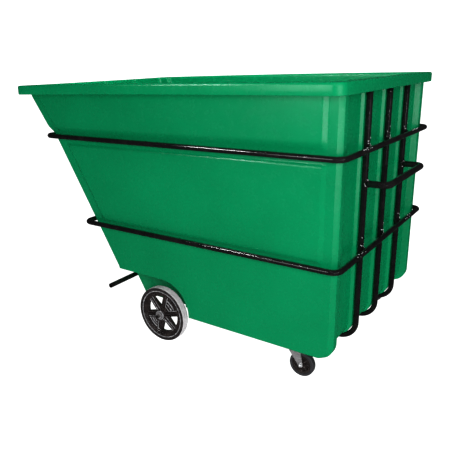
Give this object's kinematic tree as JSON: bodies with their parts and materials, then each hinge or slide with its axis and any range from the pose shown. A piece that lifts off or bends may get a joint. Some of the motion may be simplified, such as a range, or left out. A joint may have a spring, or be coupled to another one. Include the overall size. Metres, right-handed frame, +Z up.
{
  "type": "tilt truck",
  "caption": "Large wheeled plastic tilt truck for bulk waste: sloped-nose tub in a black pipe cradle with push handle, dump bar, fixed wheels and swivel casters.",
  "frame": {"origin": "on the ground under the middle of the truck's overall length and width", "axes": "+X from the dumping nose towards the push handle, +Y to the right of a person pushing the handle, +Z up"},
  "size_m": [2.0629, 1.3, 1.3827],
  "materials": {
    "tub_plastic": "satin rotomoulded polyethylene, green",
    "frame_paint": "gloss black powder coat",
    "wheel_core": "black moulded polyolefin",
    "tyre_rubber": "grey moulded rubber, black side walls",
    "caster_rubber": "dark grey rubber",
    "zinc": "bright zinc plate",
    "steel": "plain turned steel",
    "nylon": "natural nylon"
  },
  "bodies": {
    "truck": {"axle": "steel", "axle_tube": "frame_paint", "axle_washer_inner_left": "zinc", "axle_washer_inner_right": "zinc", "axle_washer_outer_left": "zinc", "axle_washer_outer_right": "zinc", "back_tube_left": "frame_paint", "back_tube_middle": "frame_paint", "back_tube_right": "frame_paint", "bar_strut_left": "frame_paint", "bar_strut_right": "frame_paint", "caster_mount_plate_left": "frame_paint", "caster_mount_plate_right": "frame_paint", "caster_plate_left": "zinc", "caster_plate_right": "zinc", "cotter_pin_left": "zinc", "cotter_pin_right": "zinc", "dump_bar": "frame_paint", "floor_bolt_01": "zinc", "floor_bolt_02": "zinc", "floor_bolt_03": "zinc", "floor_bolt_04": "zinc", "floor_bolt_05": "zinc", "floor_bolt_06": "zinc", "floor_bolt_07": "zinc", "floor_bolt_08": "zinc", "floor_bolt_09": "zinc", "floor_bolt_10": "zinc", "floor_bolt_11": "zinc", "floor_bolt_12": "zinc", "front_mount_plate_left": "frame_paint", "front_mount_plate_right": "frame_paint", "kingpin_left": "steel", "kingpin_right": "steel", "lower_ring": "frame_paint", "push_handle": "frame_paint", "swivel_bearing_left": "zinc", "swivel_bearing_right": "zinc", "tub": "tub_plastic", "upper_ring": "frame_paint"},
    "left_wheel": {"wheel_core_left": "wheel_core", "tyre_left": "tyre_rubber", "wheel_bushing_left": "nylon"},
    "left_caster": {"caster_fork_left": "zinc", "caster_sleeve_left": "steel", "caster_axle_bolt_left": "zinc", "caster_axle_nut_left": "zinc"},
    "left_caster_wheel": {"caster_core_left": "wheel_core", "caster_tread_left": "caster_rubber"},
    "right_wheel": {"wheel_core_right": "wheel_core", "tyre_right": "tyre_rubber", "wheel_bushing_right": "nylon"},
    "right_caster": {"caster_fork_right": "zinc", "caster_sleeve_right": "steel", "caster_axle_bolt_right": "zinc", "caster_axle_nut_right": "zinc"},
    "right_caster_wheel": {"caster_core_right": "wheel_core", "caster_tread_right": "caster_rubber"}
  },
  "joints": [
    {"name": "left_wheel_spin", "type": "hinge", "parent": "truck", "child": "left_wheel", "pos_m": [-0.06045, -0.582, 0.1524], "axis": [0, 1, 0], "continuous": true},
    {"name": "left_caster_swivel", "type": "hinge", "parent": "truck", "child": "left_caster", "pos_m": [0.70255, -0.497, 0.0635], "axis": [0, 0, 1], "continuous": true},
    {"name": "left_caster_spin", "type": "hinge", "parent": "left_caster", "child": "left_caster_wheel", "pos_m": [0.73655, -0.497, 0.0635], "axis": [0, 1, 0], "continuous": true},
    {"name": "right_wheel_spin", "type": "hinge", "parent": "truck", "child": "right_wheel", "pos_m": [-0.06045, 0.582, 0.1524], "axis": [0, 1, 0], "continuous": true},
    {"name": "right_caster_swivel", "type": "hinge", "parent": "truck", "child": "right_caster", "pos_m": [0.70255, 0.497, 0.0635], "axis": [0, 0, 1], "continuous": true},
    {"name": "right_caster_spin", "type": "hinge", "parent": "right_caster", "child": "right_caster_wheel", "pos_m": [0.73655, 0.497, 0.0635], "axis": [0, 1, 0], "continuous": true}
  ]
}
